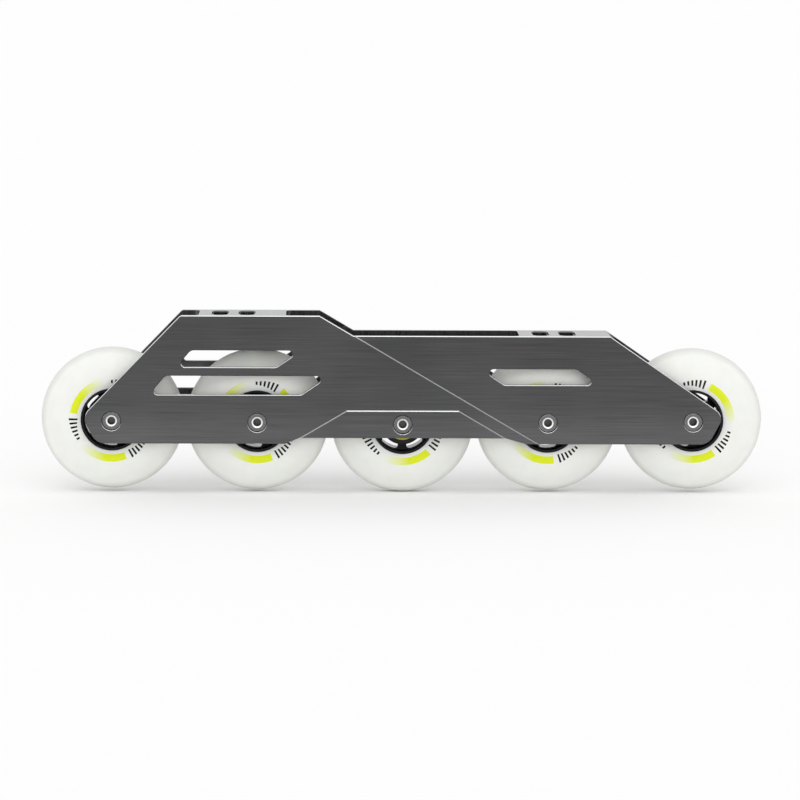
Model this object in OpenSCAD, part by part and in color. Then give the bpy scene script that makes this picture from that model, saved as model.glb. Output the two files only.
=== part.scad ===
// Inline skate frame with five wheels in line.
// The frame is one machined aluminium channel with a heel platform, a lower toe platform and
// stepped side faces. Each wheel turns on two ball bearings round a bolt through both walls.
// +X points to the toe, +Y to the side away from the bolt heads, +Z up.
// The origin is on the floor, under the middle wheel, half way across the frame.

/* [Wheels] */
// Diameter of a wheel
wheel_d = 80; // [76:0.5:84]
// Width of a tyre
tyre_w = 24; // [22:0.5:25]
// Gap between neighbouring tyres
wheel_gap = 1.5; // [1:0.25:4]
// Lift of the second and fourth axles above the middle axle
inner_rocker = 0.95; // [0:0.05:1.5]
// Lift of the first and last axles above the middle axle
outer_rocker = 1.7; // [0:0.05:2.5]
// Radius of the rounded tread
tread_r = 8; // [6:0.5:9.5]
// Radius at which a tyre is widest
tyre_side_r = 22; // [20:0.5:26]
// How far the tyre's inner lip lies in from its widest point
tyre_lip = 0.6; // [0.2:0.1:1.5]

/* [Wheel cores] */
// Radius of the core's rim, where the tyre meets it
core_r = 17.4; // [16.8:0.1:19]
// Thickness of the core's rim
core_rim_t = 1.4; // [1.2:0.1:2]
// Thickness of the sleeve round the bearings
core_sleeve_t = 1; // [0.9:0.1:1.6]
// How far the sleeve's ends lie in from the bearings' faces
core_sleeve_in = 1.5; // [0.5:0.25:2.5]
// Thickness of the web between the sleeve and the rim
core_web_t = 6; // [4:0.5:10]
// Width of the inner flange that the bearings butt against, inside the sleeve
core_stop_h = 1.4; // [0.8:0.1:2]
// Height of the anchor ring that the tyre is cast round
anchor_h = 4; // [2:0.5:6]
// Width of the anchor ring's neck
anchor_neck_w = 6; // [3:0.5:9]
// Width of the anchor ring's head
anchor_head_w = 11; // [7:0.5:14]
// Thickness of the anchor ring's head
anchor_head_t = 1.6; // [1:0.1:2.5]
// Number of openings in the web
opening_count = 6; // [4:1:8]
// Angle that one opening takes up
opening_angle = 40; // [28:1:42]
// Wall left between an opening and the sleeve or the rim
opening_wall = 0.1; // [0.1:0.05:0.4]

/* [Bearings] */
// Bore of a bearing
bearing_bore = 8; // [7:0.5:8.5]
// Outside diameter of a bearing
bearing_od = 22; // [21:0.5:23]
// Width of a bearing
bearing_w = 7; // [6.5:0.25:7.5]
// Diameter of a ball
ball_d = 3.969; // [3.5:0.001:4]
// Number of balls in a bearing
ball_count = 7; // [6:1:8]
// Gap between a ball and its track
ball_gap = 0.05; // [0.03:0.01:0.08]
// How far the rings' shoulders lie from the middle of the balls, as a share of the ball's radius
shoulder_share = 0.73; // [0.65:0.01:0.8]
// Thickness of a shield
shield_t = 0.35; // [0.2:0.05:0.4]
// Depth of a shield below the bearing's face
shield_depth = 0.2; // [0.1:0.05:0.4]
// Running gap between a shield and the inner ring
shield_gap = 0.25; // [0.15:0.05:0.4]
// How far a shield sits in the outer ring
shield_seat = 0.35; // [0.2:0.05:0.5]
// Thickness of the cage's closed side
cage_t = 0.5; // [0.3:0.05:0.55]
// Width of the cage across the ball track
cage_w = 1.7; // [1.2:0.1:2]
// Distance between the two bearings of a wheel
spacer_w = 10; // [8:0.5:12]
// Outside diameter of the spacer between the bearings
spacer_od = 10.4; // [9.5:0.1:11]

/* [Axles] */
// Diameter of an axle's head
axle_head_d = 9.8; // [9:0.1:10.5]
// Thickness of an axle's head
axle_head_t = 1.9; // [1.5:0.1:2.5]
// Depth of a head's face below the toe end's side face
axle_sink = 0.7; // [0.3:0.1:1.2]
// Width across the flats of the hex socket
hex_flats = 4; // [3:0.5:5]
// Depth of the hex socket
hex_depth = 4; // [2:0.5:6]
// Diameter of the bright countersink round the socket
countersink_d = 6.2; // [5.8:0.1:8]
// Depth of the countersink
countersink_depth = 0.45; // [0.3:0.05:1.2]
// Depth of an axle's far end below the toe end's side face
axle_end_sink = 0.4; // [0.2:0.1:1]
// Chamfer on an axle's edges
axle_chamfer = 0.3; // [0.2:0.1:0.8]

/* [Frame] */
// Width of the frame across its toe end
toe_w = 34; // [33:0.5:38]
// Height of one step of the side face
step_h = 0.6; // [0.4:0.1:1.2]
// Width of the slope between two levels of the side face
step_w = 0.55; // [0.2:0.1:1]
// Width of the channel between the walls
channel_w = 28; // [27:0.5:29]
// Radius inside the channel's upper corners
channel_r = 3; // [1:0.5:5]
// Room between the fourth wheel and the toe platform
wheel_room = 3.85; // [2:0.25:8]
// Thickness of the toe platform
toe_web_t = 5; // [4:0.5:7]
// Thickness of the heel platform
heel_web_t = 6; // [4:0.5:8]
// Height of the heel platform above the toe platform
heel_lift = 11.2; // [6:0.2:14]
// Depth of the walls below the middle axle
wall_below = 10.9; // [9:0.1:12]
// Depth of the walls below the middle axle beside the middle wheel
middle_below = 7.5; // [7:0.1:8.5]
// Chamfer along the frame's outer edges
edge_chamfer = 0.3; // [0.2:0.05:0.6]
// Radius of the heel walls' upper back corner
heel_back_r = 3; // [2:0.5:5]
// Radius of the lower corners of the two noses
nose_under_r = 8; // [5:0.5:9]
// Angle of the noses' undersides
nose_under_angle = 62; // [56:1:70]
// Reach of the heel nose behind the first axle
heel_nose_reach = 16.4; // [14:0.2:20]
// Rise of the heel nose above the first axle
heel_nose_rise = 2.4; // [1:0.2:5]
// Radius of the heel nose
heel_nose_r = 7.5; // [5:0.5:9]
// Reach of the toe nose beyond the last axle
toe_nose_reach = 17.4; // [14:0.2:20]
// Rise of the toe nose above the last axle
toe_nose_rise = 3.7; // [1:0.2:6]
// Radius of the toe nose
toe_nose_r = 6; // [5:0.5:9]

/* [Platforms] */
// Distance between the heel and toe bolt slots, from pair to pair
mount_span = 180; // [165:1:195]
// Distance between the two slots of a pair
slot_pitch = 15; // [13:0.5:18]
// Place of the bolt pattern's middle along the frame
mount_x = -5; // [-8:0.5:2]
// Width of a bolt slot
slot_w = 8; // [6.5:0.25:8.5]
// Length of a bolt slot across the frame
slot_l = 22.5; // [16:0.5:24]
// Chamfer round a bolt slot
slot_chamfer = 0.7; // [0.3:0.1:1]
// Radius in the corners between a platform's ends and the walls
web_corner_r = 3.5; // [2:0.5:6]
// Length of the heel platform behind its last slot
heel_web_back = 7.8; // [6:0.2:10]
// Length of the heel platform in front of its first slot
heel_web_front = 18; // [12:0.5:20]
// Length of the toe platform behind its last slot
toe_web_back = 8.4; // [6:0.2:14]
// Length of the toe platform in front of its first slot
toe_web_front = 20.5; // [14:0.5:24]
// Length of the heel walls behind the heel platform
heel_wall_back = 10.1; // [6:0.1:12]
// Length of the heel walls in front of the heel platform
heel_wall_front = 18.8; // [14.5:0.1:24]
// Length of the toe walls in front of the toe platform, up to the slope
toe_wall_front = -1.1; // [-3:0.1:3]

/* [Side relief] */
// Angle of the heel's front slope, of the long step below it and of the middle pad's ends
relief_angle = 30.5; // [27:0.5:33]
// Height of the middle pad's upper edge above the middle axle
pad_top = 8; // [7:0.25:10]
// Length of the middle pad's upper edge
pad_l = 62.8; // [50:0.2:70]
// End of the heel walls' lower edge behind the middle axle
heel_bottom_x = 66; // [64:0.5:76]
// Start of the toe walls' lower edge in front of the middle axle
toe_bottom_x = 69.5; // [64:0.5:76]

/* [Windows] */
// Height of the lower heel window's sill above the middle axle
heel_low_sill = 16.6; // [13:0.2:17]
// Height of the lower heel window
heel_low_h = 10.7; // [8:0.1:13]
// Reach of the lower heel window behind the second axle
heel_low_back = 60.2; // [50:0.2:66]
// Reach of the lower heel window in front of the second axle
heel_low_front = 40.4; // [34:0.2:46]
// Bar left between the two heel windows
heel_bar_h = 4.8; // [3:0.2:6]
// Height of the upper heel window
heel_high_h = 9.5; // [7:0.1:10.5]
// Reach of the upper heel window behind the second axle
heel_high_back = 45; // [38:0.5:50]
// Reach of the upper heel window in front of the second axle
heel_high_front = 24.8; // [18:0.2:30]
// Height of the toe window's sill above the middle axle
toe_sill = 22.4; // [16:0.2:24]
// Height of the toe window
toe_h = 9; // [7:0.2:12]
// Reach of the toe window behind the fourth axle
toe_back = 38.1; // [32:0.1:42]
// Reach of the toe window in front of the fourth axle
toe_front = 29; // [22:0.5:34]
// Angle of the heel windows' back ends
heel_end_angle = 50; // [45:1:60]
// Angle of the windows' other ends
window_end_angle = 34; // [30:1:40]
// Corner radius at a window's pointed corners
sharp_r = 2.25; // [1.5:0.25:3]
// Corner radius at a window's blunt corners
blunt_r = 4; // [2:0.5:5]
// Chamfer round a window
window_chamfer = 0.3; // [0.2:0.05:0.6]

/* [Bosses and bolt holes] */
// Diameter of an axle boss where it meets the bearing
boss_d = 12; // [11:0.1:12]
// Diameter of an axle boss at the wall
boss_base_d = 16; // [13:0.5:20]
// Diameter of the counterbore round an axle's head
counterbore_d = 10.9; // [10.6:0.1:13]
// Chamfer round a counterbore
counterbore_chamfer = 0.2; // [0.1:0.05:0.4]
// Countersink of a bolt hole on the far side
far_chamfer = 0.6; // [0.3:0.1:1]

/* [Fits] */
// Radial clearance of an axle in the frame and in the bearings
axle_fit = 0.03; // [0.02:0.01:0.05]
// Radial clearance of a pressed ring or shield
press_fit = 0.02; // [0.01:0.01:0.03]

/* [Hidden] */
$fn = 96;
wheel_count = 5;
middle = 3;
WHEEL_PARTS = ["axle", "spacer", "inner_rings", "balls", "cage", "outer_rings", "shields", "core", "tyre"];

over = 1;      // how far a cut runs past the face it cuts
far = 400;     // longer than the whole frame
bite = 0.02;   // how far a corner's arc crosses the straight edges beside it

// How far each wheel is turned, as wheels left to stop by themselves are
wheel_turn = [21.5, 20, 0, 32.5, 8];

// Axles, from the first at the heel to the last at the toe
wheel_r = wheel_d / 2;
wheel_pitch = wheel_d + wheel_gap;
rocker = [0, inner_rocker, outer_rocker];
function axle_x(i) = (i - middle) * wheel_pitch;
function axle_y(i) = wheel_r + rocker[abs(i - middle)];

// Distances from the mid-plane: the three levels of the side face, the channel and the hub
toe_half = toe_w / 2;
heel_half = toe_half + step_h;
pad_half = heel_half + step_h;
channel_half = channel_w / 2;
hub_half = spacer_w / 2 + bearing_w;
function face_half(i) = i == middle ? pad_half : i < middle ? heel_half : toe_half;

// Bearings
axle_r = bearing_bore / 2 - axle_fit;
ball_r = ball_d / 2;
bearing_r = bearing_od / 2;
pitch_r = (bearing_bore + bearing_od) / 4;
shoulder = shoulder_share * ball_r;
track_r = ball_r + ball_gap;
shield_r = pitch_r + shoulder + shield_seat;
shield_top = bearing_w / 2 - shield_depth;
bearing_at = (spacer_w + bearing_w) / 2;

// Wheel cores and tyres
seat_r = bearing_r + press_fit;
sleeve_r = seat_r + core_sleeve_t;
sleeve_half = hub_half - core_sleeve_in;
rim_r = core_r - core_rim_t;
tyre_half = tyre_w / 2;
lip_half = tyre_half - tyre_lip;
opening_low = sleeve_r + opening_wall;
opening_high = rim_r - opening_wall;
tread_at = wheel_r - tread_r;
side_r = ((tread_at - tyre_side_r) ^ 2 + tyre_half ^ 2 - tread_r ^ 2) / (2 * (tyre_half - tread_r));
tread_end = tyre_side_r + side_r * (tread_at - tyre_side_r) / (side_r - tread_r);

// Axle heads
head_face = toe_half - axle_sink;
head_seat = head_face - axle_head_t;
hex_r = hex_flats / sqrt(3);
axle_end = toe_half - axle_end_sink;

// Heights and places of the platforms
toe_top = wheel_d + inner_rocker + wheel_room + toe_web_t;
heel_top = toe_top + heel_lift;
heel_slots = [for (s = [-1, 1]) mount_x - mount_span / 2 + s * slot_pitch / 2];
toe_slots = [for (s = [-1, 1]) mount_x + mount_span / 2 + s * slot_pitch / 2];
heel_web = [heel_slots[0] - slot_w / 2 - heel_web_back, heel_slots[1] + slot_w / 2 + heel_web_front];
toe_web = [toe_slots[0] - slot_w / 2 - toe_web_back, toe_slots[1] + slot_w / 2 + toe_web_front];

// Outline of the walls, anticlockwise from the heel's upper back corner: place and corner radius
bottom = wheel_r - wall_below;
middle_bottom = wheel_r - middle_below;
relief_slope = tan(relief_angle);
heel_front = [heel_web[1] + heel_wall_front, heel_top];
slope_foot = [heel_front[0] + heel_lift / relief_slope, toe_top];
heel_nose = [axle_x(1) - heel_nose_reach, axle_y(1) + heel_nose_rise];
toe_nose = [axle_x(wheel_count) + toe_nose_reach, axle_y(wheel_count) + toe_nose_rise];
function nose_under(nose) = (nose[1] - bottom) / tan(nose_under_angle);
pad_bottom_x = pad_l / 2 + (pad_top + middle_below) / relief_slope;
outline = [
    [heel_web[0] - heel_wall_back, heel_top, heel_back_r],
    [heel_nose[0], heel_nose[1], heel_nose_r],
    [heel_nose[0] + nose_under(heel_nose), bottom, nose_under_r],
    [-heel_bottom_x, bottom, 0],
    [-pad_bottom_x, middle_bottom, 0],
    [pad_bottom_x, middle_bottom, 0],
    [toe_bottom_x, bottom, 0],
    [toe_nose[0] - nose_under(toe_nose), bottom, nose_under_r],
    [toe_nose[0], toe_nose[1], toe_nose_r],
    [toe_web[1] + toe_wall_front, toe_top, 0],
    [slope_foot[0], slope_foot[1], 0],
    [heel_front[0], heel_front[1], 0]
];

// Corners of a window over an axle, anticlockwise from its pointed back corner
function window(back, front, sill, h, end_angle) = [
    [-back, sill, sharp_r],
    [front - h / tan(window_end_angle), sill, blunt_r],
    [front, sill + h, sharp_r],
    [-back + h / tan(end_angle), sill + h, blunt_r]
];

// Rounded outlines: each corner becomes its two tangent points, arc centre, radius, heading and turn
function corner(list, i) = list[(i + len(list)) % len(list)];
function heading(a, b) = atan2(b[1] - a[1], b[0] - a[0]);
function polar(r, angle) = r * [cos(angle), sin(angle)];
function arc(a, b, c) =
    let (
        way = heading(a, b),
        raw = heading(b, c) - way,
        turn = raw - 360 * round(raw / 360),
        reach = b[2] * tan(abs(turn) / 2),
        from = [b[0], b[1]] - polar(reach, way),
        to = [b[0], b[1]] + polar(reach, way + turn)
    ) [from, to, from + polar(b[2], way + 90 * sign(turn)), b[2], way, turn];
function arcs(list) = [
    for (i = [0:len(list) - 1]) arc(corner(list, i - 1), corner(list, i), corner(list, i + 1))
];

// The straight-edged middle of a rounded outline: sharp corners stay, round ones are cut across
module straight_part(around) {
    polygon([for (k = around) each k[3] > 0 ? [k[0], k[1]] : [k[0]]]);
}

// A flat shape whose corners with a radius are round and point outwards
module rounded(list) {
    around = arcs(list);
    straight_part(around);
    for (k = around) if (k[3] > 0) translate(k[2]) circle(k[3] + bite);
}

// A profile swept straight from a point: its x lies to the left of the way, its y up
module sweep(from, way, l) {
    translate([from[0], from[1], 0]) rotate(way) rotate([90, 0, 90]) linear_extrude(l) children();
}

// The parts are drawn lying on their side, then stood upright
module upright() {
    rotate([90, 0, 0]) children();
}

module both_sides() {
    children();
    mirror([0, 0, 1]) children();
}

module at_axle(i) {
    translate([axle_x(i), axle_y(i), 0]) children();
}

module at_bearings() {
    both_sides() translate([0, 0, bearing_at]) children();
}

module tube(r, bore_r, h) {
    difference() {
        cylinder(r = r, h = h, center = true);
        cylinder(r = bore_r, h = h + 2 * over, center = true);
    }
}

// The walls' outline at one level of the side face, with its outer edges chamfered
module slab(half) {
    around = arcs(outline);
    difference() {
        linear_extrude(2 * half, center = true) straight_part(around);
        both_sides() for (i = [0:len(around) - 1])
            edge_cut(around[i], corner(around, i + 1), half, edge_chamfer, 1);
    }
    for (k = around) if (k[3] > 0) translate(k[2]) {
        r = k[3] + bite;
        low = half - edge_chamfer;
        rotate_extrude() polygon([
            [0, -half], [r - edge_chamfer, -half], [r, -low], [r, low], [r - edge_chamfer, half], [0, half]
        ]);
    }
}

// The chamfer along the straight edge between two corners, on its left (1) or its right (-1).
// It runs on past an outer corner, and stops short in an inner one.
module edge_cut(a, b, half, size, side) {
    way = heading(a[1], b[0]);
    lead = side * a[5] > 0 ? over : size / 4;
    tail = side * b[5] > 0 ? over : size / 4;
    sweep(a[1] - polar(lead, way), way, norm(b[0] - a[1]) + lead + tail)
        polygon([
            [side * (size + over), half + over],
            [-side * over, half - size - over],
            [-side * over, half + over]
        ]);
}

// Everything to the left of a line, with its edge bevelled from one level up to the next
module left_of(from, way, half) {
    start = from - polar(far, way);
    top = half + step_h;
    sweep(start, way, 2 * far)
        polygon([[0, -half], [step_w, -top], [far, -top], [far, top], [step_w, top], [0, half]]);
}

// The stepped walls before they are hollowed out
module blank() {
    pad_corner = [pad_l / 2, wheel_r + pad_top];
    step_from = slope_foot + polar(step_w, 90 - relief_angle);
    slab(toe_half);
    intersection() {
        slab(heel_half);
        left_of(step_from, 180 - relief_angle, toe_half);
    }
    intersection() {
        slab(pad_half);
        left_of(pad_corner, 180, heel_half);
        left_of(pad_corner, 180 - relief_angle, heel_half);
        left_of([-pad_corner[0], pad_corner[1]], 180 + relief_angle, heel_half);
    }
}

// The room for the wheels, from one place along the frame to another, under a platform
module channel(x0, x1, ceiling) {
    sweep([x0, 0], 0, x1 - x0)
        rounded([
            [-over, -channel_half, over],
            [ceiling, -channel_half, channel_r],
            [ceiling, channel_half, channel_r],
            [-over, channel_half, over]
        ]);
}

// An open stretch of the top, as wide as the channel
module top_opening(x0, x1) {
    top = heel_top + over;
    low = toe_top - toe_web_t - channel_r - over;
    translate([0, top, 0]) rotate([90, 0, 0]) linear_extrude(top - low)
        rounded([
            for (p = [[x0, -1], [x1, -1], [x1, 1], [x0, 1]]) [p[0], p[1] * channel_half, web_corner_r]
        ]);
}

// A bolt slot across a platform, with a chamfered rim
module bolt_slot(x, top, t) {
    end = slot_l / 2 - slot_w / 2;
    rim = slot_w / 2 + slot_chamfer;
    translate([x, top, 0]) rotate([90, 0, 0]) {
        translate([-slot_w / 2, -end, -over]) cube([slot_w, 2 * end, t + 2 * over]);
        translate([0, end, 0]) rotate([90, 0, 0]) linear_extrude(2 * end)
            polygon([[-rim - over, over], [rim + over, over], [0, -rim]]);
        for (s = [-1, 1]) translate([0, s * end, 0]) {
            translate([0, 0, -over]) cylinder(d = slot_w, h = t + 2 * over);
            translate([0, 0, -over]) cylinder(r1 = rim + over, r2 = 0, h = rim + over);
        }
    }
}

// A window through both walls, chamfered at one level of the side face
module window_cut(list, half) {
    around = arcs(list);
    low = half - window_chamfer;
    linear_extrude(2 * (pad_half + over), center = true) rounded(list);
    both_sides() for (i = [0:len(around) - 1]) {
        edge_cut(around[i], corner(around, i + 1), half, window_chamfer, -1);
        r = around[i][3] + bite;
        translate(around[i][2]) rotate_extrude()
            polygon([[0, low], [r, low], [r + window_chamfer + over, half + over], [0, half + over]]);
    }
}

// The bore, the counterbore for the head and the far side's countersink
module axle_hole(i) {
    hole_r = bearing_bore / 2 + axle_fit;
    cylinder(r = hole_r, h = 2 * (pad_half + over), center = true);
    translate([0, 0, head_seat]) cylinder(d = counterbore_d, h = pad_half + over - head_seat);
    rim(face_half(i), counterbore_d / 2, counterbore_chamfer);
    mirror([0, 0, 1]) rim(face_half(i), hole_r, far_chamfer);
}

// The chamfer round a hole in the side face
module rim(half, r, size) {
    translate([0, 0, half - size]) cylinder(r1 = r, r2 = r + size + over, h = size + over);
}

module axle_boss() {
    translate([0, 0, hub_half])
        cylinder(d1 = boss_d, d2 = boss_base_d, h = channel_half - hub_half);
}

module frame() {
    heel_sill = wheel_r + heel_low_sill;
    heel_high_sill = heel_sill + heel_low_h + heel_bar_h;
    heel_low = window(heel_low_back, heel_low_front, heel_sill, heel_low_h, heel_end_angle);
    heel_high = window(heel_high_back, heel_high_front, heel_high_sill, heel_high_h, heel_end_angle);
    toe_window = window(toe_front, toe_back, wheel_r + toe_sill, toe_h, window_end_angle);
    color("dimgray") upright() difference() {
        union() {
            difference() {
                blank();
                channel(-far, channel_half, heel_top - heel_web_t);
                channel(-channel_half, far, toe_top - toe_web_t);
                top_opening(heel_web[0] - far, heel_web[0]);
                top_opening(heel_web[1], toe_web[0]);
                top_opening(toe_web[1], toe_web[1] + far);
            }
            for (i = [1:wheel_count]) at_axle(i) both_sides() axle_boss();
        }
        for (x = heel_slots) bolt_slot(x, heel_top, heel_web_t);
        for (x = toe_slots) bolt_slot(x, toe_top, toe_web_t);
        translate([axle_x(2), 0, 0]) {
            window_cut(heel_low, heel_half);
            window_cut(heel_high, heel_half);
        }
        translate([axle_x(4), 0, 0]) mirror([1, 0, 0]) window_cut(toe_window, toe_half);
        for (i = [1:wheel_count]) at_axle(i) axle_hole(i);
    }
}

module axle() {
    head_r = axle_head_d / 2;
    color("gray") difference() {
        rotate_extrude() polygon([
            [0, -axle_end],
            [axle_r - axle_chamfer, -axle_end],
            [axle_r, -axle_end + axle_chamfer],
            [axle_r, head_seat],
            [head_r, head_seat],
            [head_r, head_face - axle_chamfer],
            [head_r - axle_chamfer, head_face],
            [0, head_face]
        ]);
        translate([0, 0, head_face - hex_depth]) cylinder(r = hex_r, h = hex_depth + over, $fn = 6);
        translate([0, 0, head_face - countersink_depth])
            cylinder(r1 = hex_r, d2 = countersink_d, h = countersink_depth);
    }
}

module spacer() {
    color("silver") tube(spacer_od / 2, bearing_bore / 2, spacer_w);
}

// One bearing's ring between two radii, with the ball track turned into it
module ring_profile(low, high) {
    difference() {
        translate([low, -bearing_w / 2]) square([high - low, bearing_w]);
        translate([pitch_r, 0]) circle(track_r);
    }
}

module inner_rings() {
    color("lightsteelblue") at_bearings()
        rotate_extrude() ring_profile(bearing_bore / 2, pitch_r - shoulder);
}

module outer_rings() {
    color("lightsteelblue") at_bearings() rotate_extrude() difference() {
        ring_profile(pitch_r + shoulder, bearing_r);
        for (s = [0, 1]) mirror([0, s])
            translate([0, shield_top - shield_t]) square([shield_r, bearing_w]);
    }
}

module shields() {
    color("darkkhaki") at_bearings() both_sides()
        translate([0, 0, shield_top - shield_t / 2])
            tube(shield_r - press_fit, pitch_r - shoulder + shield_gap, shield_t);
}

// Places the children at every ball of one bearing
module at_balls() {
    for (k = [0:ball_count - 1]) rotate(k * 360 / ball_count) translate([pitch_r, 0, 0]) children();
}

module balls() {
    color("gainsboro") at_bearings() at_balls() sphere(r = ball_r);
}

// A crown cage: a closed ring on the bearing's inner side, with prongs that reach between the balls
module cage() {
    color("saddlebrown") at_bearings() difference() {
        rotate_extrude() translate([pitch_r - cage_w / 2, -track_r - cage_t])
            square([cage_w, track_r + cage_t - over / 4]);
        at_balls() sphere(r = track_r);
    }
}

// The part of the core that the tyre is cast round
module anchor_profile() {
    translate([core_r, -anchor_neck_w / 2]) square([anchor_h, anchor_neck_w]);
    translate([core_r + anchor_h - anchor_head_t, -anchor_head_w / 2]) square([anchor_head_t, anchor_head_w]);
}

module core_profile() {
    translate([seat_r - core_stop_h, -spacer_w / 2]) square([core_stop_h + core_sleeve_t, spacer_w]);
    translate([seat_r, -sleeve_half]) square([core_sleeve_t, 2 * sleeve_half]);
    translate([sleeve_r - over / 2, -core_web_t / 2]) square([rim_r - sleeve_r + over, core_web_t]);
    translate([rim_r, -lip_half]) square([core_rim_t, 2 * lip_half]);
    anchor_profile();
}

// One bean-shaped opening in the core's web
module core_opening() {
    bean_w = opening_high - opening_low;
    bean_r = (opening_low + opening_high) / 2;
    bean_angle = opening_angle - 2 * asin(bean_w / 2 / bean_r);
    rotate(-bean_angle / 2) rotate_extrude(angle = bean_angle)
        translate([opening_low, -hub_half]) square([bean_w, 2 * hub_half]);
    for (s = [-1, 1]) rotate(s * bean_angle / 2) translate([bean_r, 0, 0])
        cylinder(d = bean_w, h = 2 * hub_half, center = true);
}

module core() {
    color("#202122") difference() {
        rotate_extrude() core_profile();
        for (k = [0:opening_count - 1]) rotate(k * 360 / opening_count) core_opening();
    }
}

module tyre() {
    color("ivory") rotate_extrude() difference() {
        union() {
            polygon([
                [core_r, -lip_half], [tyre_side_r, -tyre_half], [tyre_side_r, tyre_half], [core_r, lip_half]
            ]);
            intersection() {
                translate([tyre_side_r, tyre_half - side_r]) circle(side_r);
                translate([tyre_side_r, side_r - tyre_half]) circle(side_r);
                translate([tyre_side_r, -tyre_half]) square([tread_end - tyre_side_r, tyre_w]);
            }
            translate([tread_at, 0]) circle(tread_r);
        }
        anchor_profile();
    }
}

// One sub-part of a wheel, by name
module wheel_part(name) {
    if (name == "axle") axle();
    if (name == "spacer") spacer();
    if (name == "inner_rings") inner_rings();
    if (name == "balls") balls();
    if (name == "cage") cage();
    if (name == "outer_rings") outer_rings();
    if (name == "shields") shields();
    if (name == "core") core();
    if (name == "tyre") tyre();
}

frame();
for (name = WHEEL_PARTS) for (i = [1:wheel_count])
    upright() at_axle(i) rotate(wheel_turn[i - 1]) wheel_part(name);
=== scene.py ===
"""Inline skate frame: finished meshes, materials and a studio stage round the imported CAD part."""

import math

import bmesh
import bpy
from bpy.props import FloatProperty, FloatVectorProperty, IntProperty, PointerProperty
from mathutils import Euler, Matrix, Vector


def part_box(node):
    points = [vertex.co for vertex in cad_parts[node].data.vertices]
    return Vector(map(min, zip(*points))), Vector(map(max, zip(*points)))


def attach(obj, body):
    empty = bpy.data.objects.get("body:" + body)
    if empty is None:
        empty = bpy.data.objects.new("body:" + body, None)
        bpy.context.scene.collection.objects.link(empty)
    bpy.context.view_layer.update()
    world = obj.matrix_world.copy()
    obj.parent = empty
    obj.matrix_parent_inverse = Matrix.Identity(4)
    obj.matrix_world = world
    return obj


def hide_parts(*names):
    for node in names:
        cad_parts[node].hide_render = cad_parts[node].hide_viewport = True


bl_info = {
    "name": "Inline Skate Frame",
    "version": (1, 0, 0),
    "blender": (4, 5, 0),
    "location": "View3D > Sidebar > Skate",
    "description": "Builds the frame, wheels, bearings and stage of a five-wheel skate frame",
    "category": "Object",
}

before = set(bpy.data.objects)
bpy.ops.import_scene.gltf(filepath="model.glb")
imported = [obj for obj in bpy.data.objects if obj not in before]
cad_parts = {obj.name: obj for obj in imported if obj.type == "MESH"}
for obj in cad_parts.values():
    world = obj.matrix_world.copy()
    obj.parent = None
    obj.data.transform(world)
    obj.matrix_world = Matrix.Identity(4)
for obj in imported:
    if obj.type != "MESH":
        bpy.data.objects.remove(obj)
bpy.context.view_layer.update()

MM = 0.001
WHEELS = (1, 2, 3, 4, 5)
WHEEL_TURNS = (21.5, 20.0, 0.0, 32.5, 8.0)  # degrees, as the cores stand in the part

# Joining a CAD node's triangles: what is closer or shorter than this is one point
WELD = 0.004 * MM
SLIVER = 0.002 * MM
SEAM = 0.001 * MM  # where a turned tyre meets itself

# Angles between two faces, in degrees
FLAT = 0.3
MOULD_EDGE = 35
CREASE = 28
FRAME_CREASE = 18  # less, so that the corners of the relief stay crisp

# How far a normal points along an axis: faces that face that way, and those that slope
FACING = 0.97
SLOPED = 0.3

# The frame's faces, told apart by where they lie
BRUSHED, MILLED, CUT_EDGE, BARE, CUT_STEP = range(5)
SIDE_REACH = 16 * MM  # the side faces lie further than this from the mid-plane
WALL_REACH = 14.2 * MM  # the walls' inner faces lie closer than this to it
HOLE_RADIUS = 6.2 * MM  # round an axle, what belongs to its hole
RIM_DEPTH = 0.25 * MM  # the chamfer round a counterbore is shallower than this
STEP_DEPTH = 0.45 * MM  # a step of the relief is deeper than this, a chamfer shallower
PLATFORM_LEVEL = 85 * MM  # the platforms' tops lie above this

# The axles' faces, told apart in the same way; the socket's walls and floor get dark colours as
# painted shade
PLATED, POLISHED, SOCKET_WALL_SHADE, SOCKET_FLOOR_SHADE = range(4)
SOCKET_RADIUS = 2.4 * MM  # a socket's faces lie closer than this to the axis
SOCKET_TOP, SOCKET_DEPTH = 0.1 * MM, 4.2 * MM  # and between these depths behind the head's face

# A tyre's profile, in millimetres from the axle and from the mid-plane
BORE_RADIUS, BORE_HALF = 17.4, 11.4
FLANK_RADIUS, FLANK_HALF = 22, 12
# Flank arcs of 22.5 mm meet the tread's arc of 8 mm at 46.4 degrees from the mid-plane
FLANK_CENTRE = 10.5
FLANK_SWEEP, FLANK_STEPS = 43.61, 16
TREAD_CENTRE = 32
TREAD_SWEEP, TREAD_STEPS = 92.78, 32
LIP_STEPS = 3
TREAD_SHADE_RADII = (36.5, 40.0)  # radii between which the painted shade towards the tread sets in

# The print on a tyre, in millimetres
PRINT_RADIUS = 21.6
ARC_HALF = 2.1
TICK_HALVES = (2.6, 0.8)  # half the length of the first and last tick of a group
# The print's places, as shares of one of its repeats
PRINT_REPEATS = 3
ARC_RISE = (0.02, 0.34)
ARC_END = 0.6
TICKS_MIDDLE, TICKS_HALF = 0.8, 0.15
TICKS_PER_REPEAT = 20.0
TICK_SHARE = 0.24  # half a tick's width as a share of its step

# Most values of a noise pattern lie between these
NOISE = {"From Min": 0.3, "From Max": 0.7}

# The stage: metres, millimetres and degrees
FLOOR_SIZE = 30
VIEW_END = 100
SENSOR = 36
CAMERA_PLACE = (-45.4, -2021.9, 306.5)
CAMERA_DIP, CAMERA_YAW, CAMERA_ROLL = 7.178, -1.251, 0.306


def srgb(code):
    """Turns an sRGB hex value into a linear colour."""
    parts = [int(code[i:i + 2], 16) / 255 for i in (1, 3, 5)]
    linear = [c / 12.92 if c <= 0.04045 else ((c + 0.055) / 1.055) ** 2.4 for c in parts]
    return (*linear, 1.0)


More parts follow.
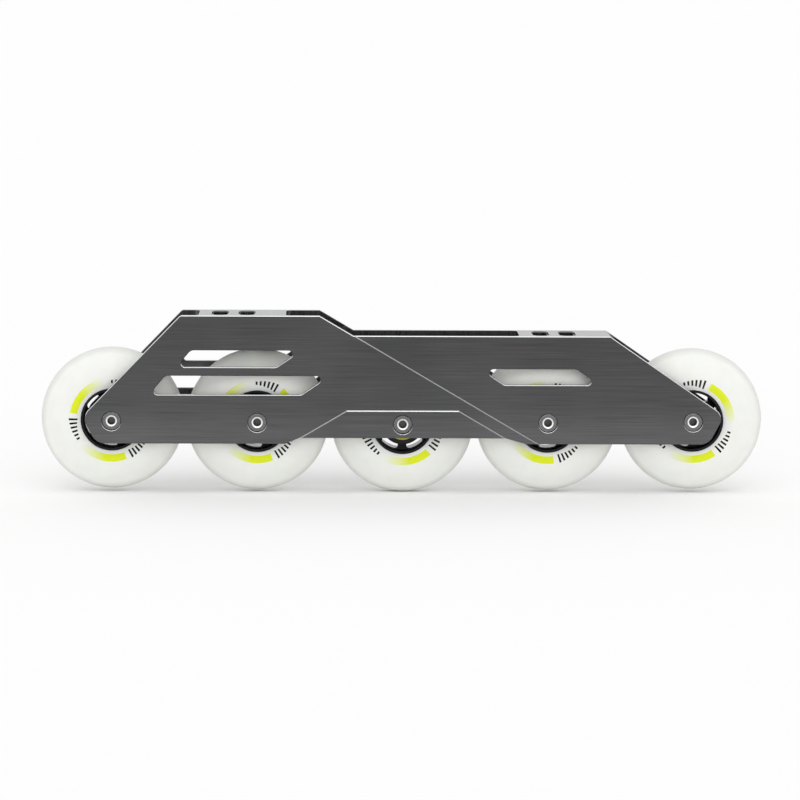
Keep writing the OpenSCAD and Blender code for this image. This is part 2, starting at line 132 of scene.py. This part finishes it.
def colour(name, description, code):
    """A colour setting with its sRGB default."""
    return FloatVectorProperty(name=name, description=description, subtype="COLOR", size=4,
                               min=0, max=1, default=srgb(code))


class SkateFinish(bpy.types.PropertyGroup):
    """Colours of the part's finishes."""

    side: colour("Frame sides", "Dark anodised aluminium of the side faces", "#565657")
    milled: colour("Milled faces", "Dark anodised aluminium of the edges and channel", "#5c5c5d")
    bare: colour("Platforms", "Bare milled aluminium of the faces that carry the boot", "#a5a6a7")
    cut: colour("Cut edges", "Bare aluminium of the chamfers and steps", "#f0f1f2")
    tyre: colour("Tyre", "Cast polyurethane of the tyres", "#f3f4ef")
    band: colour("Tyre band", "Printed arcs on the tyres", "#e4f02b")
    ticks: colour("Tyre ticks", "Printed ticks on the tyres", "#17181a")
    core: colour("Wheel core", "Glass-filled nylon of the cores", "#1b1c1e")
    axle: colour("Axle", "Plated steel of the axles", "#747475")
    shield: colour("Bearing shield", "Passivated steel of the shields", "#a79f45")
    cage: colour("Bearing cage", "Nylon of the ball cages", "#b9a37a")


class SkateShape(bpy.types.PropertyGroup):
    """Sizes of the details that the finished meshes add."""

    wheel_steps: IntProperty(name="Wheel steps", description="Steps of a turned tyre",
                             default=144, min=48, max=256)
    core_edge: FloatProperty(name="Core edge", description="Rounding of the moulded cores' edges",
                             default=0.25 * MM, min=0, max=MM, unit="LENGTH", precision=5)
    lip_round: FloatProperty(name="Tyre lip", description="Rounding of a tyre's inner lip",
                             default=0.35 * MM, min=0, max=MM, unit="LENGTH", precision=5)


class SkateStage(bpy.types.PropertyGroup):
    """The studio round the part."""

    floor: colour("Floor", "Pale floor", "#fdfdfd")
    lens: FloatProperty(name="Lens", description="Focal length of the camera",
                        default=162.57, min=20, max=300)
    sky: FloatProperty(name="Sky", description="Strength of the world's even light",
                       default=0.76, min=0, max=2)
    key: FloatProperty(name="Key light", description="Strength of the light above the camera",
                       default=0.72, min=0, max=10)
    key_rise: FloatProperty(name="Key height", description="Angle of the key above the floor",
                            default=math.radians(70), min=0, max=math.pi / 2, subtype="ANGLE")
    fill: FloatProperty(name="Fill light", description="Strength of the low light in front",
                        default=0.4, min=0, max=10)
    fill_rise: FloatProperty(name="Fill height", description="Angle of the fill above the floor",
                             default=math.radians(10), min=0, max=math.pi / 2, subtype="ANGLE")
    spread: FloatProperty(name="Light spread", description="Width of both lights as an angle",
                          default=math.radians(75), min=0, max=math.pi, subtype="ANGLE")


def add(tree, kind, inputs=None, **settings):
    """Adds a node with its settings, and links or fills its inputs."""
    node = tree.nodes.new(kind)
    for name, value in settings.items():
        setattr(node, name, value)
    for name, value in (inputs or {}).items():
        if isinstance(value, bpy.types.NodeSocket):
            tree.links.new(value, node.inputs[name])
        else:
            node.inputs[name].default_value = value
    return node


def new_material(name, **values):
    """A material with one shader, whose sockets take the given values."""
    material = bpy.data.materials.new(name)
    material.use_nodes = True
    tree = material.node_tree
    tree.nodes.clear()
    shader = add(tree, "ShaderNodeBsdfPrincipled", values)
    add(tree, "ShaderNodeOutputMaterial", {"Surface": shader.outputs["BSDF"]})
    return material, tree, shader


def vary(tree, shader, pattern, tint, tones, gloss, shade=None, relief=None):
    """Lets a noise pattern vary a finish, and returns the varied colour.

    The colour is taken times a factor between the two tones, and times shade if that is given. The
    roughness lies between the two values of gloss. A relief gives a bump's strength and depth.
    """
    factor = add(tree, "ShaderNodeMapRange", {
        "Value": pattern, "To Min": tones[0], "To Max": tones[1], **NOISE}).outputs["Result"]
    if shade is not None:
        factor = add(tree, "ShaderNodeMath", {0: factor, 1: shade},
                     operation="MULTIPLY").outputs["Value"]
    base = add(tree, "ShaderNodeVectorMath", {0: tint[:3], "Scale": factor},
               operation="SCALE").outputs["Vector"]
    tree.links.new(base, shader.inputs["Base Color"])
    rough = add(tree, "ShaderNodeMapRange", {
        "Value": pattern, "To Min": gloss[0], "To Max": gloss[1], **NOISE}).outputs["Result"]
    tree.links.new(rough, shader.inputs["Roughness"])
    if relief is not None:
        bump = add(tree, "ShaderNodeBump", {
            "Height": pattern, "Strength": relief[0], "Distance": relief[1]})
        tree.links.new(bump.outputs["Normal"], shader.inputs["Normal"])
    return base


def brushed_aluminium(finish):
    # Anodised aluminium brushed along the frame: a dark satin metal with long, level streaks
    material, tree, shader = new_material("anodised_aluminium_brushed", Metallic=1.0)
    place = add(tree, "ShaderNodeTexCoord").outputs["Object"]
    # A brush leaves scratches 0.05 mm high; these are 0.6 mm high and 50 mm long, so that they show
    along = add(tree, "ShaderNodeMapping", {
        "Vector": place, "Scale": (1 / (50 * MM), 1, 1 / (0.6 * MM))}).outputs["Vector"]
    streaks = add(tree, "ShaderNodeTexNoise", {
        "Vector": along, "Scale": 1.0, "Detail": 4.0, "Roughness": 0.65}).outputs["Fac"]
    # Broad clouds, 60 mm across
    broad = add(tree, "ShaderNodeTexNoise", {
        "Vector": place, "Scale": 1 / (60 * MM), "Detail": 2.0}).outputs["Fac"]
    cloud = add(tree, "ShaderNodeMapRange", {
        "Value": broad, "To Min": 0.9, "To Max": 1.1, **NOISE}).outputs["Result"]
    # Painted light: the sides are painted paler towards the lower edge, as a painted reflection of
    # the pale floor, and darker along the top, as painted shade
    height = add(tree, "ShaderNodeSeparateXYZ", {"Vector": place}).outputs["Z"]
    low = add(tree, "ShaderNodeMapRange", {
        "Value": height, "From Min": 32 * MM, "From Max": 54 * MM, "To Min": 1.36, "To Max": 1.0},
        interpolation_type="SMOOTHSTEP").outputs["Result"]
    high = add(tree, "ShaderNodeMapRange", {
        "Value": height, "From Min": 60 * MM, "From Max": 96 * MM, "To Min": 0.98, "To Max": 0.86,
    }).outputs["Result"]
    painted_height_light = add(tree, "ShaderNodeMath", {0: low, 1: high}, operation="MULTIPLY").outputs["Value"]
    shade = add(tree, "ShaderNodeMath", {0: cloud, 1: painted_height_light}, operation="MULTIPLY").outputs["Value"]
    vary(tree, shader, streaks, finish.side, tones=(0.78, 1.22), gloss=(0.36, 0.5), shade=shade,
         relief=(0.35, 0.02 * MM))
    return material


def milled_aluminium(name, tint):
    # Aluminium as the cutter left it, bare or anodised: an even satin with faint tool marks
    material, tree, shader = new_material(name, Metallic=1.0)
    place = add(tree, "ShaderNodeTexCoord").outputs["Object"]
    # Tool marks 0.8 mm apart along the frame and 12 mm long across it
    across = add(tree, "ShaderNodeMapping", {
        "Vector": place, "Scale": (1 / (0.8 * MM), 1 / (12 * MM), 1 / (12 * MM))}).outputs["Vector"]
    marks = add(tree, "ShaderNodeTexNoise", {
        "Vector": across, "Scale": 1.0, "Detail": 3.0}).outputs["Fac"]
    vary(tree, shader, marks, tint, tones=(0.93, 1.07), gloss=(0.26, 0.38),
         relief=(0.12, 0.02 * MM))
    return material


def cut_aluminium(name, finish, dark, bright):
    # Aluminium cut bright after anodising: near-white metal with fine tool lines
    material, tree, shader = new_material(name, Metallic=1.0)
    coordinates = add(tree, "ShaderNodeTexCoord").outputs
    # Tool lines 0.4 mm apart
    lines = add(tree, "ShaderNodeTexNoise", {
        "Vector": coordinates["Object"], "Scale": 1 / (0.4 * MM), "Detail": 2.0}).outputs["Fac"]
    bare = vary(tree, shader, lines, finish.cut, tones=(0.92, 1.0), gloss=(0.24, 0.36))
    # Painted light: edges that face up are painted bright, as a painted highlight, and towards the
    # underside they fade to the dark milled colour, as painted shade
    up = add(tree, "ShaderNodeSeparateXYZ", {"Vector": coordinates["Normal"]}).outputs["Z"]
    painted_facing_light = add(tree, "ShaderNodeMapRange", {"Value": up, "From Min": dark, "From Max": bright},
                 interpolation_type="SMOOTHSTEP").outputs["Result"]
    base = add(tree, "ShaderNodeMix", {"Factor": painted_facing_light, "A": finish.milled, "B": bare},
               data_type="RGBA")
    tree.links.new(base.outputs["Result"], shader.inputs["Base Color"])
    return material


def cast_polyurethane(finish, number, centre, turn):
    # Cast polyurethane: near-white, half-gloss, a little translucent, with a print on the flank
    material, tree, shader = new_material("polyurethane_cast_%d" % number, **{
        "IOR": 1.5, "Specular IOR Level": 0.15, "Subsurface Weight": 0.2,
        "Subsurface Radius": (1.0, 0.9, 0.6), "Subsurface Scale": 2.5 * MM})
    place = add(tree, "ShaderNodeTexCoord").outputs["Object"]
    # Millimetres from the axle, turned with the wheel
    wheel = add(tree, "ShaderNodeMapping", {
        "Vector": place, "Location": centre, "Rotation": (0, math.radians(turn), 0),
        "Scale": (MM, MM, MM)}, vector_type="TEXTURE").outputs["Vector"]
    flat = add(tree, "ShaderNodeVectorMath", {0: wheel, 1: (1, 0, 1)},
               operation="MULTIPLY").outputs["Vector"]
    radius = add(tree, "ShaderNodeVectorMath", {0: flat}, operation="LENGTH").outputs["Value"]
    axes = add(tree, "ShaderNodeSeparateXYZ", {"Vector": wheel}).outputs
    angle = add(tree, "ShaderNodeMath", {0: axes["Z"], 1: axes["X"]},
                operation="ARCTAN2").outputs["Value"]

    # The print repeats round the wheel: an arc that fades in, then ticks that get shorter
    turns = add(tree, "ShaderNodeMath", {0: angle, 1: PRINT_REPEATS / math.tau, 2: PRINT_REPEATS},
                operation="MULTIPLY_ADD").outputs["Value"]
    phase = add(tree, "ShaderNodeMath", {0: turns}, operation="FRACT").outputs["Value"]
    ring = add(tree, "ShaderNodeMath", {0: radius, 1: PRINT_RADIUS, 2: ARC_HALF},
               operation="COMPARE").outputs["Value"]
    rise = add(tree, "ShaderNodeMapRange", {
        "Value": phase, "From Min": ARC_RISE[0], "From Max": ARC_RISE[1]}).outputs["Result"]
    end = add(tree, "ShaderNodeMath", {0: phase, 1: ARC_END},
              operation="LESS_THAN").outputs["Value"]
    arc = add(tree, "ShaderNodeMath", {0: rise, 1: end}, operation="MULTIPLY").outputs["Value"]
    band = add(tree, "ShaderNodeMath", {0: ring, 1: arc}, operation="MULTIPLY").outputs["Value"]
    # Ticks 1.1 mm wide, 2.3 mm apart
    steps = add(tree, "ShaderNodeMath", {0: phase, 1: TICKS_PER_REPEAT},
                operation="MULTIPLY").outputs["Value"]
    part = add(tree, "ShaderNodeMath", {0: steps}, operation="FRACT").outputs["Value"]
    bar = add(tree, "ShaderNodeMath", {0: part, 1: 0.5, 2: TICK_SHARE},
              operation="COMPARE").outputs["Value"]
    group = add(tree, "ShaderNodeMath", {0: phase, 1: TICKS_MIDDLE, 2: TICKS_HALF},
                operation="COMPARE").outputs["Value"]
    half = add(tree, "ShaderNodeMapRange", {
        "Value": phase,
        "From Min": TICKS_MIDDLE - TICKS_HALF, "From Max": TICKS_MIDDLE + TICKS_HALF,
        "To Min": TICK_HALVES[0], "To Max": TICK_HALVES[1]}).outputs["Result"]
    reach = add(tree, "ShaderNodeMath", {0: radius, 1: PRINT_RADIUS, 2: half},
                operation="COMPARE").outputs["Value"]
    bars = add(tree, "ShaderNodeMath", {0: bar, 1: group}, operation="MULTIPLY").outputs["Value"]
    ticks = add(tree, "ShaderNodeMath", {0: bars, 1: reach}, operation="MULTIPLY").outputs["Value"]

    # Clouding 8 mm across, as in cast resin
    cloud = add(tree, "ShaderNodeTexNoise", {
        "Vector": wheel, "Scale": 1 / 8, "Detail": 3.0}).outputs["Fac"]
    # Painted shade: the tyre's colour darkens towards the tread's outer edge, so that its outline
    # stands out
    tread = add(tree, "ShaderNodeMapRange", {
        "Value": radius, "From Min": TREAD_SHADE_RADII[0], "From Max": TREAD_SHADE_RADII[1],
        "To Min": 1.0, "To Max": 0.82}).outputs["Result"]
    body = vary(tree, shader, cloud, finish.tyre, tones=(0.965, 1.0), gloss=(0.34, 0.44),
                shade=tread)
    printed = add(tree, "ShaderNodeMix", {"Factor": band, "A": body, "B": finish.band},
                  data_type="RGBA").outputs["Result"]
    inked = add(tree, "ShaderNodeMix", {"Factor": ticks, "A": printed, "B": finish.ticks},
                data_type="RGBA").outputs["Result"]
    tree.links.new(inked, shader.inputs["Base Color"])
    return material


def moulded_nylon(name, tint, specular):
    # Nylon from a polished mould, with or without glass fibre: smooth, with a fine, even grain
    material, tree, shader = new_material(name, **{"IOR": 1.53, "Specular IOR Level": specular})
    place = add(tree, "ShaderNodeTexCoord").outputs["Object"]
    # Grain 0.35 mm across
    grain = add(tree, "ShaderNodeTexNoise", {
        "Vector": place, "Scale": 1 / (0.35 * MM), "Detail": 2.0}).outputs["Fac"]
    vary(tree, shader, grain, tint, tones=(0.85, 1.15), gloss=(0.12, 0.22),
         relief=(0.12, 0.05 * MM))
    return material


def turned_metal(name, tint, gloss):
    # Turned or ground steel or aluminium: a clean metal whose gloss varies with the tool marks
    material, tree, shader = new_material(name, Metallic=1.0)
    place = add(tree, "ShaderNodeTexCoord").outputs["Object"]
    # Tool marks 0.3 mm apart
    marks = add(tree, "ShaderNodeTexNoise", {
        "Vector": place, "Scale": 1 / (0.3 * MM), "Detail": 2.0}).outputs["Fac"]
    vary(tree, shader, marks, tint, tones=(0.9, 1.08), gloss=gloss)
    return material


def merged_copy(node):
    """A bmesh of a CAD node with its loose triangles joined."""
    mesh = bmesh.new()
    mesh.from_mesh(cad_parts[node].data)
    bmesh.ops.remove_doubles(mesh, verts=mesh.verts, dist=WELD)
    bmesh.ops.dissolve_degenerate(mesh, edges=mesh.edges, dist=SLIVER)
    return mesh


def sharp_edges(mesh, angle):
    """Edges where two faces meet at more than an angle in degrees."""
    limit = math.radians(angle)
    return [e for e in mesh.edges if len(e.link_faces) == 2 and e.calc_face_angle(0.0) > limit]


def soften(mesh, width):
    """Makes the flat faces of a merged mesh whole and rounds its sharp edges."""
    bmesh.ops.dissolve_limit(mesh, angle_limit=math.radians(FLAT), verts=mesh.verts,
                             edges=mesh.edges)
    bmesh.ops.bevel(mesh, geom=sharp_edges(mesh, MOULD_EDGE), offset=width, segments=2,
                    profile=0.5, affect="EDGES", material=-1, clamp_overlap=True)


def finish_piece(mesh, name, materials, body, node, crease=CREASE):
    """Turns a bmesh into a smooth-shaded piece that stands for a CAD node and rides on a body."""
    for face in mesh.faces:
        face.smooth = True
    for edge in sharp_edges(mesh, crease):
        edge.smooth = False
    data = bpy.data.meshes.new(name)
    mesh.to_mesh(data)
    mesh.free()
    for material in materials:
        data.materials.append(material)
    piece = bpy.data.objects.new(name, data)
    bpy.context.scene.collection.objects.link(piece)
    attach(piece, body)
    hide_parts(node)


def dress(node, material):
    """Gives a CAD node one material."""
    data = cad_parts[node].data
    data.materials.clear()
    data.materials.append(material)


def wheel_centre(number):
    """The middle of a wheel, on its axle and on the mid-plane."""
    low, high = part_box("tyre_%d" % number)
    return (low + high) / 2


def frame_finish(face, centres):
    """Which of the frame's finishes a face has, from its place and the way that it faces."""
    middle = face.calc_center_median()
    side, reach = abs(face.normal.y), abs(middle.y)
    if side > FACING and reach > SIDE_REACH:
        return BRUSHED
    levels = [abs(vert.co.y) for vert in face.verts]
    depth = max(levels) - min(levels)
    hole = any(math.hypot(middle.x - c.x, middle.z - c.z) < HOLE_RADIUS for c in centres)
    outside = reach > WALL_REACH
    if outside and SLOPED < side < FACING and (depth < RIM_DEPTH or not hole):
        return CUT_STEP if depth > STEP_DEPTH else CUT_EDGE
    # The counterbores' walls and floors take the pale bare finish: bare milled metal, and also
    # painted light that lifts the shade in the gap round each axle head
    if outside and side < FACING and hole:
        return BARE
    if face.normal.z > FACING and middle.z > PLATFORM_LEVEL:
        return BARE
    return MILLED


class SKATE_OT_frame(bpy.types.Operator):
    """Finish the machined frame: brushed sides, milled faces and bright cut edges"""

    bl_idname = "skate.frame"
    bl_label = "Machined Frame"

    def execute(self, context):
        finish = context.scene.skate_finish
        mesh = merged_copy("frame")
        centres = [wheel_centre(number) for number in WHEELS]
        for face in mesh.faces:
            face.material_index = frame_finish(face, centres)
        # The cut edges and steps fade from the milled colour to bright as they face up, between the
        # two facings given: painted light
        materials = [brushed_aluminium(finish),
                     milled_aluminium("anodised_aluminium_milled", finish.milled),
                     cut_aluminium("aluminium_cut_edge", finish, 0.05, 0.42),
                     milled_aluminium("aluminium_milled", finish.bare),
                     cut_aluminium("aluminium_cut_step", finish, 0.57, 0.72)]
        finish_piece(mesh, "machined_frame", materials, "chassis", "frame",
                     crease=FRAME_CREASE)
        return {"FINISHED"}


def tyre_mesh(shape):
    """A tyre round the Y axis: a flank, the tread and the other flank, shut at the bore."""
    mesh = bmesh.new()
    low = mesh.verts.new(Vector((BORE_RADIUS, -BORE_HALF, 0)) * MM)
    last = mesh.verts.new(Vector((FLANK_RADIUS, -FLANK_HALF, 0)) * MM)
    mesh.edges.new((low, last))
    for x, y, sweep, steps in ((FLANK_RADIUS, FLANK_CENTRE, FLANK_SWEEP, FLANK_STEPS),
                               (TREAD_CENTRE, 0, TREAD_SWEEP, TREAD_STEPS),
                               (FLANK_RADIUS, -FLANK_CENTRE, FLANK_SWEEP, FLANK_STEPS)):
        turned = bmesh.ops.spin(mesh, geom=[last], cent=Vector((x, y, 0)) * MM, axis=(0, 0, 1),
                                angle=math.radians(sweep), steps=steps, use_duplicate=False)
        last = [g for g in turned["geom_last"] if isinstance(g, bmesh.types.BMVert)][0]
    high = mesh.verts.new(Vector((BORE_RADIUS, BORE_HALF, 0)) * MM)
    mesh.edges.new((last, high))
    mesh.edges.new((high, low))
    bmesh.ops.bevel(mesh, geom=[low, high], offset=shape.lip_round, segments=LIP_STEPS,
                    profile=0.5, affect="VERTICES", material=-1)
    bmesh.ops.spin(mesh, geom=mesh.verts[:] + mesh.edges[:], cent=(0, 0, 0), axis=(0, 1, 0),
                   angle=math.tau, steps=shape.wheel_steps, use_merge=True, use_duplicate=False)
    bmesh.ops.remove_doubles(mesh, verts=mesh.verts, dist=SEAM)
    bmesh.ops.recalc_face_normals(mesh, faces=mesh.faces)
    return mesh


class SKATE_OT_tyres(bpy.types.Operator):
    """Turn the five tyres from one profile"""

    bl_idname = "skate.tyres"
    bl_label = "Tyres"

    def execute(self, context):
        for number, turn in zip(WHEELS, WHEEL_TURNS):
            centre = wheel_centre(number)
            mesh = tyre_mesh(context.scene.skate_shape)
            bmesh.ops.translate(mesh, verts=mesh.verts, vec=centre)
            material = cast_polyurethane(context.scene.skate_finish, number, centre, turn)
            finish_piece(mesh, "turned_tyre_%d" % number, [material], "wheel_%d" % number,
                         "tyre_%d" % number)
        return {"FINISHED"}


class SKATE_OT_cores(bpy.types.Operator):
    """Finish the five moulded wheel cores with rounded edges"""

    bl_idname = "skate.cores"
    bl_label = "Wheel Cores"

    def execute(self, context):
        material = moulded_nylon("nylon_glass_filled", context.scene.skate_finish.core, 0.12)
        for number in WHEELS:
            mesh = merged_copy("core_%d" % number)
            soften(mesh, context.scene.skate_shape.core_edge)
            finish_piece(mesh, "moulded_core_%d" % number, [material], "wheel_%d" % number,
                         "core_%d" % number)
        return {"FINISHED"}


def axle_finish(face, centre, head):
    """Which of an axle's finishes a face has; head is where the head's outer face lies along Y."""
    middle = face.calc_center_median() - centre
    level = abs(face.normal.y)
    if SLOPED < level < FACING:
        return POLISHED
    inside = math.hypot(middle.x, middle.z) < SOCKET_RADIUS
    # Painted shade: the socket's walls and floor are painted dark for the shade deep in the socket
    if inside and head + SOCKET_TOP < middle.y < head + SOCKET_DEPTH:
        return SOCKET_FLOOR_SHADE if level > FACING else SOCKET_WALL_SHADE
    return PLATED


class SKATE_OT_axles(bpy.types.Operator):
    """Finish the five axles, with a bright countersink round each socket"""

    bl_idname = "skate.axles"
    bl_label = "Axles"

    def execute(self, context):
        # The last two colours are painted shade: near black for the socket's walls, and darker than
        # the plated steel for its floor
        materials = [turned_metal("steel_plated", context.scene.skate_finish.axle, (0.32, 0.44)),
                     turned_metal("steel_polished", srgb("#fafafa"), (0.3, 0.45)),
                     turned_metal("steel_socket_wall_painted_shade", srgb("#1e1e1d"), (0.4, 0.55)),
                     turned_metal("steel_socket_floor_painted_shade", srgb("#646460"), (0.4, 0.55))]
        for number in WHEELS:
            node = "axle_%d" % number
            mesh = merged_copy(node)
            centre, head = wheel_centre(number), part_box(node)[0].y
            for face in mesh.faces:
                face.material_index = axle_finish(face, centre, head)
            finish_piece(mesh, "finished_" + node, materials, "chassis", node)
        return {"FINISHED"}


class SKATE_OT_bearings(bpy.types.Operator):
    """Give the rings, shields, balls, cages and spacers their finishes"""

    bl_idname = "skate.bearings"
    bl_label = "Bearings"

    def execute(self, context):
        finish = context.scene.skate_finish
        ground = turned_metal("steel_ground", srgb("#c9cbcd"), (0.14, 0.24))
        finishes = {
            "inner_rings": ground,
            "outer_rings": turned_metal("steel_black_oxide", srgb("#2c2c2e"), (0.3, 0.42)),
            "balls": ground,
            "shields": turned_metal("steel_passivated", finish.shield, (0.3, 0.4)),
            "spacer": turned_metal("aluminium_turned", srgb("#d4d6d8"), (0.25, 0.35)),
            "cage": moulded_nylon("nylon_natural", finish.cage, 0.5),
        }
        for number in WHEELS:
            for name, material in finishes.items():
                dress("%s_%d" % (name, number), material)
        return {"FINISHED"}


class SKATE_OT_stage(bpy.types.Operator):
    """Set up the pale floor, soft light and camera"""

    bl_idname = "skate.stage"
    bl_label = "Stage"

    def execute(self, context):
        stage = context.scene.skate_stage
        scene = context.scene
        scene.view_settings.view_transform = "Standard"

        # Painted studio floor: pale and matt
        paint = new_material("floor_paint", **{
            "Base Color": stage.floor, "Specular IOR Level": 0.0})[0]
        mesh = bmesh.new()
        bmesh.ops.create_grid(mesh, x_segments=1, y_segments=1, size=FLOOR_SIZE)
        data = bpy.data.meshes.new("floor")
        mesh.to_mesh(data)
        mesh.free()
        data.materials.append(paint)
        floor = bpy.data.objects.new("floor", data)
        scene.collection.objects.link(floor)

        # Even light, seen as white by the camera and in the metal
        world = bpy.data.worlds.new("studio")
        world.use_nodes = True
        scene.world = world
        tree = world.node_tree
        tree.nodes.clear()
        path = add(tree, "ShaderNodeLightPath").outputs
        seen = path["Is Camera Ray"]
        for ray in ("Is Glossy Ray", "Is Transmission Ray"):
            seen = add(tree, "ShaderNodeMath", {0: seen, 1: path[ray]},
                       operation="MAXIMUM").outputs["Value"]
        strength = add(tree, "ShaderNodeMapRange", {
            "Value": seen, "To Min": stage.sky, "To Max": 1.0}).outputs["Result"]
        sky = add(tree, "ShaderNodeBackground", {"Color": (1, 1, 1, 1), "Strength": strength})
        add(tree, "ShaderNodeOutputWorld", {"Surface": sky.outputs["Background"]})

        # Two broad lights from the camera's side; the low one doesn't show in the metal
        for name, power, rise, glossy in (("key", stage.key, stage.key_rise, True),
                                          ("fill", stage.fill, stage.fill_rise, False)):
            lamp = bpy.data.lights.new(name, "SUN")
            lamp.energy = power
            lamp.angle = stage.spread
            light = bpy.data.objects.new(name, lamp)
            light.visible_glossy = glossy
            light.matrix_world = Matrix.Rotation(math.pi / 2 - rise, 4, "X")
            scene.collection.objects.link(light)

        lens = bpy.data.cameras.new("camera")
        lens.lens = stage.lens
        lens.sensor_width = SENSOR
        lens.clip_end = VIEW_END
        camera = bpy.data.objects.new("camera", lens)
        place = Matrix.Translation(Vector(CAMERA_PLACE) * MM)
        aim = Euler((math.radians(90 - CAMERA_DIP), 0, math.radians(CAMERA_YAW)))
        roll = Matrix.Rotation(math.radians(CAMERA_ROLL), 4, "Z")
        camera.matrix_world = place @ aim.to_matrix().to_4x4() @ roll
        scene.collection.objects.link(camera)
        scene.camera = camera
        return {"FINISHED"}


class SKATE_PT_panel(bpy.types.Panel):
    """Lists the pieces of the skate frame"""

    bl_label = "Skate Frame"
    bl_idname = "SKATE_PT_panel"
    bl_space_type = "VIEW_3D"
    bl_region_type = "UI"
    bl_category = "Skate"

    def draw(self, context):
        scene = context.scene
        for operator in OPERATORS:
            self.layout.operator(operator.bl_idname)
        for group in (scene.skate_finish, scene.skate_shape, scene.skate_stage):
            box = self.layout.box()
            for name in group.bl_rna.properties.keys():
                if name not in {"rna_type", "name"}:
                    box.prop(group, name)


OPERATORS = (SKATE_OT_stage, SKATE_OT_frame, SKATE_OT_tyres, SKATE_OT_cores, SKATE_OT_axles,
             SKATE_OT_bearings)
CLASSES = (SkateFinish, SkateShape, SkateStage, *OPERATORS, SKATE_PT_panel)


def register():
    for item in CLASSES:
        bpy.utils.register_class(item)
    bpy.types.Scene.skate_finish = PointerProperty(type=SkateFinish)
    bpy.types.Scene.skate_shape = PointerProperty(type=SkateShape)
    bpy.types.Scene.skate_stage = PointerProperty(type=SkateStage)


def unregister():
    del bpy.types.Scene.skate_stage
    del bpy.types.Scene.skate_shape
    del bpy.types.Scene.skate_finish
    for item in reversed(CLASSES):
        bpy.utils.unregister_class(item)


def main():
    register()
    bpy.ops.skate.stage()
    bpy.ops.skate.frame()
    bpy.ops.skate.tyres()
    bpy.ops.skate.cores()
    bpy.ops.skate.axles()
    bpy.ops.skate.bearings()


if __name__ == "__main__":
    main()
